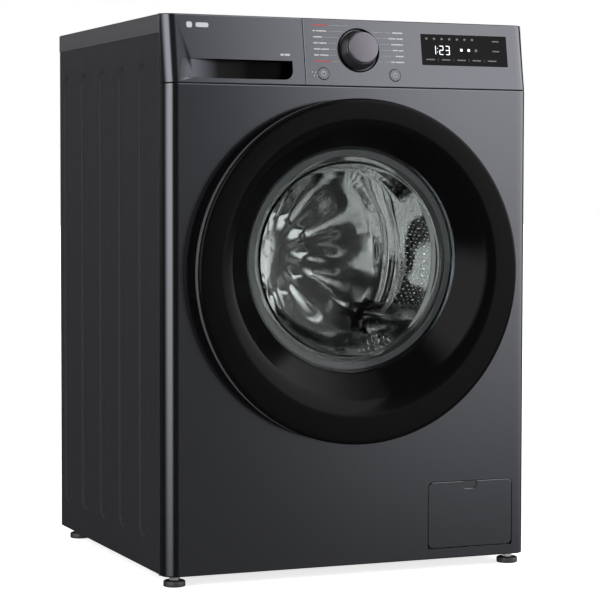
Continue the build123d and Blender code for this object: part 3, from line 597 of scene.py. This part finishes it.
# Display and printed marks
# A smoked window with pale digits and signs behind it. The marks on the fascia are thin pads of
# ink: two columns of bars beside the dial, joined to it by fine lines.
glow = finish("glow", (0.8, 0.82, 0.84), 0.5, 0.0, (200, 0.05), (500, 0.02), Emission_Strength=0.5)
glow.node_tree.nodes["Principled BSDF"].inputs["Emission Color"].default_value = (0.85, 0.9, 0.95, 1)
dim_glow = finish("dim glow", (0.1, 0.1, 0.105), 0.5, 0.0, (200, 0.05), (500, 0.02))


def mark(x, z, wide, tall, lift=0.05):
    """A thin rounded bar of ink centred on a place on the console."""
    r = min(wide, tall) * 0.3
    flat = [(a, b) for a, b in rounded((-wide / 2, wide / 2), (-tall / 2, tall / 2), r, steps=2)]
    return leaning(loft([upright(flat, -lift), upright(flat, 0.2)]), x, z)


def stroke(a, b, wide, lift=0.05):
    """A fine straight line between two places on the console."""
    along = Vector((b[0] - a[0], b[1] - a[1]))
    across = Vector((-along.y, along.x)).normalized() * wide / 2
    a, b = Vector(a), Vector(b)
    ring = [tuple(a + across), tuple(b + across), tuple(b - across), tuple(a - across)]
    flat = [at(x, slope * (z - console_low) - lift, z) for x, z in ring]
    back = [at(x, slope * (z - console_low) + 0.2, z) for x, z in ring]
    return loft([flat, back])


def digit(x, z, lit, tall=11.0, wide=6.0, thick=1.1):
    """A seven bar digit; lit names its bars from a, the top, to g, the middle."""
    half = tall / 2
    bars = {
        "a": (0, half, wide, thick), "d": (0, -half, wide, thick), "g": (0, 0, wide, thick),
        "b": (wide / 2, half / 2, thick, half), "c": (wide / 2, -half / 2, thick, half),
        "e": (-wide / 2, -half / 2, thick, half), "f": (-wide / 2, half / 2, thick, half),
    }
    return [mark(x + bars[k][0], z + bars[k][1], bars[k][2], bars[k][3], 0.02) for k in lit]


window_mid = (sum(display_x) / 2, sum(display_z) / 2)
half_wide, half_tall = (display_x[1] - display_x[0]) / 2, (display_z[1] - display_z[0]) / 2
spread = ((-half_wide, half_wide), (-half_tall, half_tall))
window = pad(lambda inset: rounded(*spread, 1, inset), (0.0, 1.9), 0.2)
fixed(piece("display_window", [(leaning(window, *window_mid), black_gloss)]), "display_window")
digits_z, digits_tall = 807, 13
shown = []
for x, lit in ((139.5, "bc"), (152.5, "abged"), (163, "abgcd")):
    shown += [(bar, glow) for bar in digit(x, digits_z, lit, digits_tall)]
shown += [(mark(146, digits_z + k, 1.2, 1.2, 0.02), glow) for k in (-2.8, 2.8)]
shown += [(mark(128 + 13.1 * k, 824.5, 4, 3.2, 0.02), dim_glow) for k in range(7)]
shown += [(mark(187 + 12.6 * k, 808, 4.4, 4, 0.02), glow if k < 2 else dim_glow) for k in range(3)]
shown += [(mark(132.8 + 26.6 * k, 792.2, 15, 1.8, 0.02), dim_glow) for k in range(5)]
shown += [(mark(119.5 + 26.6 * k, 792.2, 0.4, 4.5, 0.02), dim_glow) for k in range(1, 5)]
shown += [(mark(247, 823 - 15.4 * k, 12, 1.8, 0.02), dim_glow) for k in range(2)]
fixed(piece("display_signs", shown))


left_column, right_column, word_gap, leader_r = -61.4, 87.5, 1.3, 36.5


def words(left, z, widths, ink, tall=1.9):
    """A broken bar that reads as a few small words from a distance."""
    made, x = [], left
    for wide in widths:
        made.append((mark(x + wide / 2, z, wide, tall), ink))
        x += wide + word_gap
    return made


def leader(x, z, side):
    """A fine line from a mark to the dial's ring, level until it reaches the dial."""
    drop = z - knob_at[1]
    reach = math.sqrt(max(0.0, leader_r ** 2 - drop ** 2))
    return (stroke((x, z), (knob_at[0] + side * max(reach, 14.0), z), 0.3), ink_light)


labels = []
for row, widths in enumerate(((24,), (4, 17), (15,), (8, 12), (11, 13), (8, 14), (27,))):
    z = 840 - 9.18 * row
    labels += words(left_column, z, widths, ink_red if row in (0, 6) else ink_light)
    labels.append(leader(left_column + 1.4 + sum(widths) + 1.6 * len(widths), z, -1))
for row, widths in enumerate(((17,), (12, 11), (20,), (9, 8), (14,), (7, 14))):
    z = 831.3 - 9.0 * row
    start = right_column - sum(widths) - word_gap * (len(widths) - 1)
    labels += words(start, z, widths, ink_light)
    labels.append(leader(start - 1.5, z, 1))
labels += [(mark(-66 + 2.6 * k, 768 - 5 * (k % 2), 1.4, 1.2), ink_light) for k in range(4)]
fixed(piece("dial_marks", labels))
badge = [(mark(-258, 834, 9, 9), ink_light), (mark(-238, 834, 20, 7), ink_light)]
badge += words(-116, 793, (5, 9), ink_light, 3.0)
fixed(piece("drawer_marks", badge), body="drawer")

# Door rim
# A glossy moulded rim whose bowl runs in to the glass. It is deeper at the top than at the
# bottom, as the glass sits higher than the rim. A lighter band round its side wall is painted highlight.
rim_painted_sheen = finish("rim trim", (0.2, 0.2, 0.21), 0.3, 0.7, (1500, 0.1), (1500, 0.03))
curve = [(255.9 + 5.5 * math.cos(t), -33 - 5.5 * math.sin(t)) for t in np.linspace(0, math.pi / 2, 9)]
rim = [(261.4, -12, door_z), (261.4, -18.9, door_z), (260.3, -19.4, door_z), (260.3, -30.6, door_z)]
rim += [(261.4, -31.1, door_z)] + [(r, d, door_z) for r, d in curve] + [(254, -38.5, door_z)]
ridge = ((226, -38.5, 472.6), (215, -38.5, 474.7), (204.5, -30, 477.0))
for t in np.linspace(0, 1, 12):
    rim.append(tuple((1 - t) ** 2 * p + 2 * t * (1 - t) * q + t * t * r for p, q, r in zip(*ridge)))
rim += [(203.5, -29, 477.3), (174, -1.9, 484.5), (172.6, -0.6, 484.9), (172.4, 0.1, port_z)]
rim += [(175.5, 0.1, port_z), (216.5, -35.2, 475), (257, -35.2, door_z), (257, -12, door_z)]
ring = loft([upright(circle(0, z, r, 256), d) for r, d, z in rim], around=True)
# Painted highlight: a lighter grey band round the side wall stands in for the gloss wall's reflection of the
# light on the left.
band = [(260.2, -19.7), (261.2, -20.2), (261.2, -29.8), (260.2, -30.3), (259, -30.3), (259, -19.7)]
sheen_band = loft([upright(circle(0, door_z, r, 256), d) for r, d in band], around=True)
fixed(piece("door_rim", [(ring, black_gloss), (sheen_band, rim_painted_sheen)]), "door_outer_ring")

# Door glass
# A thick moulded bowl of clear glass that reaches back into the drum's mouth. It is held between
# the rim and the door's black back ring.
glass = bpy.data.materials.new("glass")
glass.use_nodes = True
nodes, links = glass.node_tree.nodes, glass.node_tree.links
shader = nodes["Principled BSDF"]
shader.inputs["Base Color"].default_value = (0.8, 0.84, 0.84, 1)
shader.inputs["Transmission Weight"].default_value = 1.0
shader.inputs["IOR"].default_value = 1.2
shader.inputs["Specular IOR Level"].default_value = 0.35
place, ripple, bump = (nodes.new(f"ShaderNode{kind}") for kind in ("TexCoord", "TexNoise", "Bump"))
ripple.inputs["Scale"].default_value = 9.0
bump.inputs["Strength"].default_value = 0.02
bump.inputs["Distance"].default_value = 0.002
links.new(place.outputs["Object"], ripple.inputs["Vector"])
links.new(ripple.outputs["Fac"], bump.inputs["Height"])
links.new(bump.outputs[0], shader.inputs["Normal"])
smear = nodes.new("ShaderNodeMapRange")
smear.inputs["To Min"].default_value, smear.inputs["To Max"].default_value = 0.0, 0.03
links.new(ripple.outputs["Fac"], smear.inputs["Value"])
links.new(smear.outputs[0], shader.inputs["Roughness"])


def smooth_curve(points, per_span=6):
    """A curve through points, with extra points between them."""
    out = []
    ends = [points[0], *points, points[-1]]
    for a, b, c, d in zip(ends, ends[1:], ends[2:], ends[3:]):
        for t in np.linspace(0, 1, per_span, endpoint=False):
            out.append(tuple(
                q + 0.5 * t * (r - p + t * (2 * p - 5 * q + 4 * r - s + t * (3 * q - p - 3 * r + s)))
                for p, q, r, s in zip(a, b, c, d)
            ))
    return out + [points[-1]]


inner = [(171, 1.2), (155, 4.2), (149.5, 7.5), (146, 13), (141.5, 37), (135.5, 60)]
inner += [(121, 80.5), (101, 90), (60, 93.8), (0.2, 94.5)]
outer = [(0.2, 100), (60, 98.8), (104, 95), (126, 84), (140, 62), (146, 38), (150.5, 16), (154, 10), (160, 7)]
flange = [(172, 5), (182.2, 5), (182.5, 4.6), (182.5, 0.8), (182.1, 0.35), (172, 0.35)]
profile = smooth_curve(inner) + smooth_curve(outer) + flange
bowl = loft([upright(circle(0, port_z, r, 192), d) for r, d in profile], around=True)
fixed(piece("door_glass", [(bowl, glass)], corner=60), "door_glass")
door_back = frame["nodes"]["door_back_ring"]
door_back.data.materials.clear()
door_back.data.materials.append(black_gloss)

# Filter flap and feet
# A flat flap in the front's colour, with a finger notch at its top edge, and four levelling feet.
notch = (188.0, 213.0, 12.0)


def notched(inset=0.0):
    """The flap's outline with a square-cornered notch let into the top edge."""
    points = rounded(flap_x, flap_z, 8, inset)
    top = flap_z[1] - inset
    bite = [(notch[1], top), (notch[1], top - notch[2] + 4), (notch[1] - 4, top - notch[2])]
    bite += [(notch[0] + 4, top - notch[2]), (notch[0], top - notch[2] + 4), (notch[0], top)]
    return points[:9] + bite + points[9:]


leaf = loft([upright(notched(inset), d) for inset, d in ((0.9, 0), (0.6, 0), (0.15, 0.3), (0, 1.4))])
back = loft([upright(rounded(flap_x, flap_z, 8), d) for d in (1.4, 2.5)])
pegs = []
for x in (flap_x[0] + 12, flap_x[1] - 12):
    lug = loft([upright(rounded((x - 3, x + 3), (35.5, 42), 0.8), d) for d in (2, 5.4)])
    peg = loft([[at(end, 3.9 + a, 38 + b) for a, b in circle(0, 0, 1.5, 16)] for end in (x - 8, x + 8)])
    pegs += [(lug, enamel_front), (peg, enamel_front)]
fixed(piece("filter_flap", [(leaf, enamel_front), (back, enamel_front), *pegs]), "filter_flap")

foot_x, foot_d = {"left": -279, "right": 279}, {"front": 24, "rear": 518}
foot_pad = [(15.3, 0), (16.2, 0.4), (16.5, 1.4), (16.5, 6.8), (16, 8.2), (14.6, 9), (9.5, 9)]
foot_nut = [(7.9, 9), (8.4, 9.5), (8.4, 13.6), (7.8, 14)]
foot_stem = [((4.4, 5.0)[k % 2], 8.5 + 0.6 * k) for k in range(70)]


def turned(x, d, profile, sides):
    """A post turned about an upright axis, from (radius, height) points."""
    return loft([[at(x + a, d + b, z) for a, b in circle(0, 0, r, sides)] for r, z in profile])


for row, d in foot_d.items():
    for hand, x in foot_x.items():
        parts = [(turned(x, d, foot_pad, 48), finishes["black_matte"])]
        parts.append((turned(x, d, foot_nut, 6), finishes["steel"]))
        parts.append((turned(x, d, foot_stem, 20), finishes["steel"]))
        fixed(piece(f"foot_{row}_{hand}", parts), f"foot_{row}_{hand}")

# Seal and hoses
# The grey rubber bellows is clipped into the front's dish and over the tub's mouth.
seal_rubber = finish("seal rubber", (0.02, 0.021, 0.022), 0.45, 0.0, (300, 0.1), (700, 0.12))
lip = [(158, 7), (167.5, 7), (167.5, 23.5), (163.5, 23.5), (163.5, 25.7), (170, 25.7), (170, 31)]
fold = [(178, 33), (184, 37), (184, 47), (180.5, 47), (177, 48), (177, 61), (172.3, 61), (172.3, 49.5)]
throat = [(164, 49.5), (164, 46), (176, 44.6), (180, 43), (180, 40), (176, 38), (160, 33), (158, 33)]
throat.append((159, 20))
ring = loft([upright(circle(0, port_z, r, 160), d) for r, d in lip + fold + throat], around=True)
seal = piece("door_bellows", [(ring, seal_rubber)], corner=50)
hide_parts("door_seal")
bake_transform(seal)

spout_x, spout_d = -180.0, 330.0
pleat_low, pleat_high, pleat = 699, 735, 6
fill = []
for z in np.arange(693, 748.1, 0.75):
    swell = 0.5 - 0.5 * math.cos(2 * math.pi * (z - pleat_low) / pleat)
    fill.append((24.5 + 2.4 * swell * (pleat_low < z < pleat_high), z))
rings = [[at(spout_x + a, spout_d + b, z) for a, b in circle(0, 0, r, 64)] for r, z in fill]
rings += [[at(spout_x + a, spout_d + b, z) for a, b in circle(0, 0, 22, 64)] for z in (748, 693)]
hose = piece("fill_bellows", [(loft(rings, around=True), finishes["rubber_black"])], corner=60)
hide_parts("fill_hose")
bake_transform(hose)


def pipe(path, radius, sides=12):
    """A tube swept along a path of points, without twisting."""
    rings, side = [], None
    for i, point in enumerate(path):
        along = (path[min(i + 1, len(path) - 1)] - path[max(i - 1, 0)]).normalized()
        side = along.orthogonal() if side is None else side - along * side.dot(along)
        side.normalize()
        across = along.cross(side)
        turns = [2 * math.pi * k / sides for k in range(sides)]
        rings.append([point + radius / 1000 * (math.cos(t) * side + math.sin(t) * across) for t in turns])
    return loft(rings)


def bent(corners, radius, steps=10):
    """A path through corners with each bend rounded off."""
    path = [corners[0]]
    for a, b, c in zip(corners, corners[1:], corners[2:]):
        start, stop = b + (a - b).normalized() * radius, b + (c - b).normalized() * radius
        for t in (k / (steps - 1) for k in range(steps)):
            path.append((1 - t) ** 2 * start + 2 * t * (1 - t) * b + t * t * stop)
    return path + [corners[-1]]


corners = [at(40, 185, 210), at(40, 185, 95), at(188, 185, 95), at(188, 116, 95)]
drop = [corners[0] + (corners[1] - corners[0]) * (0.05 * k) for k in range(12)]
path = drop + bent([drop[-1], *corners[1:]], 0.044)[1:]
hose = piece("sump_pipe", [(pipe(path, 18.8, 40), finishes["rubber_black"])], corner=60)
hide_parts("sump_hose")
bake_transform(hose)

# Suspension springs
# Two close coils of spring steel that hang the tub from tabs on the side walls.
spring_x, spring_d, spring_z, pitch = 284.0, 250.0, (605.8, 786.2), 8.2
coil_r, coil_steps = 9.0, 24
coils = []
for side in (-1, 1):
    path = []
    for k in range(int(coil_steps * (spring_z[1] - spring_z[0]) / pitch)):
        turn = 2 * math.pi * k / coil_steps
        x, d = side * spring_x + coil_r * math.cos(turn), spring_d + coil_r * math.sin(turn)
        path.append(at(x, d, spring_z[0] + pitch * k / coil_steps))
    coils.append((pipe(path, 1.6, 8), finishes["steel"]))
springs = piece("hanging_springs", coils, corner=60)
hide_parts("suspension_springs")
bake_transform(springs)

# Drum
# Polished stainless sheet, rolled into a tube with shallow beads. Rows of punched holes with
# raised rims, each hole a dark disc of painted shade, run between the three moulded paddles, and the back is
# pressed into ribs.
polish = finish("drum polish", (0.5, 0.5, 0.49), 0.09, 1.0, (300, 0.06), (38, 0.35), 0.04)
# Painted shade: near black discs stand in for the open punched holes, which are not cut through.
hole_painted_shade = finish("hole dark", (0.01, 0.01, 0.01), 0.6, 0.0, (300, 0.2), (900, 0.1))
drum_r, drum_back = 236.0, 372.0
turns = np.linspace(0, 2 * math.pi, 288, endpoint=False)


def drum_inner(d):
    """The wall's inner radius, with rolled beads near both ends."""
    beads = sum(math.exp(-(((d - mid) / 4.0) ** 2)) for mid in (104, 118, 132, 338, 350))
    return drum_r - 1.2 - 1.6 * min(1.0, beads)


def back_depth(r, turn):
    """The pressed back: a sunk ring crossed by twelve radial ribs round a plain centre."""
    ring = min(1.0, max(0.0, (r - 62) / 10)) * min(1.0, max(0.0, (206 - r) / 10))
    rib = 0.5 + 0.5 * math.cos(12 * turn)
    return drum_back - 1.4 - 4.0 * ring * rib


def drum_ring(r, depth):
    """Points round the drum's axis at one radius, with a depth for each turn."""
    return [at(r * math.cos(t), depth(t), port_z + r * math.sin(t)) for t in turns]


back_r = (234.4, 231, 226, 216, 206, 203, 199, 195, 170, 140, 110, 80, 73, 69, 65, 61, 40, 15, 1)
shell = [drum_ring(drum_inner(d), lambda turn: d) for d in np.arange(94, 366, 2.0)]
shell += [drum_ring(r, lambda turn: back_depth(r, turn)) for r in back_r]
shell += [drum_ring(r, lambda turn: drum_back) for r in (1, 120, drum_r - 0.4)]
shell += [drum_ring(drum_r, lambda turn: d) for d in (drum_back - 0.4, 94)]
shell = loft(shell, around=True)
fixed(piece("drum_tube", [(shell, polish)], corner=50), "drum_shell")
mouth = [(169, 73.6), (169.4, 72.4), (171, 71.8), (180, 74.3), (200, 79.2), (202, 81.2), (206, 81.3)]
mouth += [(drum_r, 91.5), (drum_r, 94), (234.5, 94), (234.5, 92.9), (206, 83.2), (202, 83), (171, 74.4)]
mouth.append((170, 75.4))
ring = loft([upright(circle(0, port_z, r, 192), d) for r, d in mouth], around=True)
fixed(piece("drum_mouth", [(ring, polish)], corner=50), "drum_front")


def paddle(turn):
    """One paddle: a long ridge with a rounded crest and sloping ends."""
    rings = []
    front_end = ((101, 0.0), (103, 0.35), (112, 0.75), (130, 1.0))
    back_end = ((330, 1.0), (350, 0.75), (357, 0.35), (359, 0.0))
    for d, grow in front_end + back_end:
        crest = 234.5 - 42.5 * grow
        half = 6 + 6 * grow
        points = [(-33, 232.2), (-27, 229 - 8 * grow), (-half - 4, crest + 8 * grow)]
        points += [(-half, crest + 2 * grow), (-half / 2, crest), (0, crest - 0.3 * grow)]
        points += [(half / 2, crest), (half, crest + 2 * grow), (half + 4, crest + 8 * grow)]
        points += [(27, 229 - 8 * grow), (33, 232.2), (0, 234.8)]
        ring = []
        for across, out in points:
            x = out * math.cos(turn) - across * math.sin(turn)
            z = out * math.sin(turn) + across * math.cos(turn)
            ring.append(at(x, d, port_z + z))
        rings.append(ring)
    return loft(rings)


paddle_turns = [math.radians(90 + 120 * k) for k in range(3)]
paddles = [(paddle(turn), finishes["stainless"]) for turn in paddle_turns]
fixed(piece("drum_paddles", paddles, corner=40), "drum_lifters")


def punched_tree():
    """Rows of punched holes round a drum wall, staggered, and left out under the paddles."""
    tree = bpy.data.node_groups.new("punched rows", "GeometryNodeTree")
    tree.interface.new_socket("Geometry", in_out="INPUT", socket_type="NodeSocketGeometry")
    for name, kind in (
        ("Count", "Int"), ("Rows", "Int"), ("Wall Radius", "Float"), ("First Row", "Float"),
        ("Last Row", "Float"), ("Centre Height", "Float"), ("Hole Radius", "Float"), ("Gap Share", "Float"),
        ("Rim", "Material"), ("Dark", "Material"),
    ):
        tree.interface.new_socket(name, in_out="INPUT", socket_type=f"NodeSocket{kind}")
    tree.interface.new_socket("Geometry", in_out="OUTPUT", socket_type="NodeSocketGeometry")
    links = tree.links
    given = tree.nodes.new("NodeGroupInput").outputs

    def node(kind, *values, **settings):
        made = tree.nodes.new(kind)
        for name, value in settings.items():
            setattr(made, name, value)
        for socket, value in zip([s for s in made.inputs if s.enabled], values):
            if isinstance(value, bpy.types.NodeSocket):
                links.new(value, socket)
            elif value is not None:
                socket.default_value = value
        return made.outputs[0]

    def sums(operation, a, b=0.0):
        return node("ShaderNodeMath", a, b, operation=operation)

    grid = node("GeometryNodeMeshGrid", 1.0, 1.0, given["Count"], given["Rows"])
    apart = tree.nodes.new("ShaderNodeSeparateXYZ")
    links.new(node("GeometryNodeInputPosition"), apart.inputs[0])
    last = sums("SUBTRACT", given["Count"], 1.0)
    last_row = sums("SUBTRACT", given["Rows"], 1.0)
    row = sums("ROUND", sums("MULTIPLY", sums("ADD", apart.outputs["Y"], 0.5), last_row))
    stagger = sums("MULTIPLY", sums("MODULO", row, 2.0), 0.5)
    column = sums("MULTIPLY", sums("ADD", apart.outputs["X"], 0.5), last)
    share = sums("DIVIDE", sums("ADD", column, stagger), given["Count"])
    turn = sums("MULTIPLY", share, 2 * math.pi)
    span = sums("SUBTRACT", given["Last Row"], given["First Row"])
    y = sums("ADD", given["First Row"], sums("MULTIPLY", sums("DIVIDE", row, last_row), span))
    x = sums("MULTIPLY", sums("COSINE", turn), given["Wall Radius"])
    z = sums("ADD", sums("MULTIPLY", sums("SINE", turn), given["Wall Radius"]), given["Centre Height"])
    placed = node("GeometryNodeSetPosition", grid, None, node("ShaderNodeCombineXYZ", x, y, z))
    thirds = sums("FRACT", sums("ADD", sums("MULTIPLY", share, 3.0), 0.25))
    clear = node(
        "FunctionNodeCompare",
        sums("ABSOLUTE", sums("SUBTRACT", thirds, 0.5)), sums("SUBTRACT", 0.5, given["Gap Share"]),
        data_type="FLOAT", operation="LESS_THAN",
    )
    inward = node("ShaderNodeCombineXYZ", sums("COSINE", turn), 0.0, sums("SINE", turn))
    aim = node("FunctionNodeAlignRotationToVector", None, None, inward, axis="Z")
    rim = node("GeometryNodeMeshCylinder", 10, 1, 1, given["Hole Radius"], 0.0008)
    rim = node("GeometryNodeSetMaterial", rim, None, given["Rim"])
    # Inside each rim a dark disc is painted shade standing in for the open hole.
    shade_disc = node("GeometryNodeMeshCylinder", 10, 1, 1, sums("MULTIPLY", given["Hole Radius"], 0.66), 0.001)
    shade_disc = node("GeometryNodeSetMaterial", shade_disc, None, given["Dark"])
    pair = tree.nodes.new("GeometryNodeJoinGeometry")
    links.new(rim, pair.inputs[0])
    links.new(shade_disc, pair.inputs[0])
    points = tree.nodes.new("GeometryNodeInstanceOnPoints")
    sources = {"Points": placed, "Selection": clear, "Instance": pair.outputs[0], "Rotation": aim}
    for name, source in sources.items():
        links.new(source, points.inputs[name])
    real = node("GeometryNodeRealizeInstances", points.outputs[0])
    links.new(real, tree.nodes.new("NodeGroupOutput").inputs[0])
    return tree


def grown(name, tree, **values):
    """A mesh grown by a node tree, with its named inputs set."""
    made = bpy.data.objects.new(name, bpy.data.meshes.new(name))
    scene.collection.objects.link(made)
    grow = made.modifiers.new("grow", "NODES")
    grow.node_group = tree
    for item in tree.interface.items_tree:
        if item.in_out == "INPUT" and item.name.replace(" ", "_") in values:
            grow[item.identifier] = values[item.name.replace(" ", "_")]
    settle(made)
    return made


middle_r = (drum_r - 1.4) / 1000
holes = grown(
    "drum_holes", punched_tree(), Count=118, Rows=17, Wall_Radius=middle_r, Centre_Height=port_z / 1000,
    First_Row=at(0, 146, 0).y, Last_Row=at(0, 328, 0).y, Hole_Radius=0.0024, Gap_Share=0.085,
    Rim=polish, Dark=hole_painted_shade,
)
fixed(holes, body="drum")
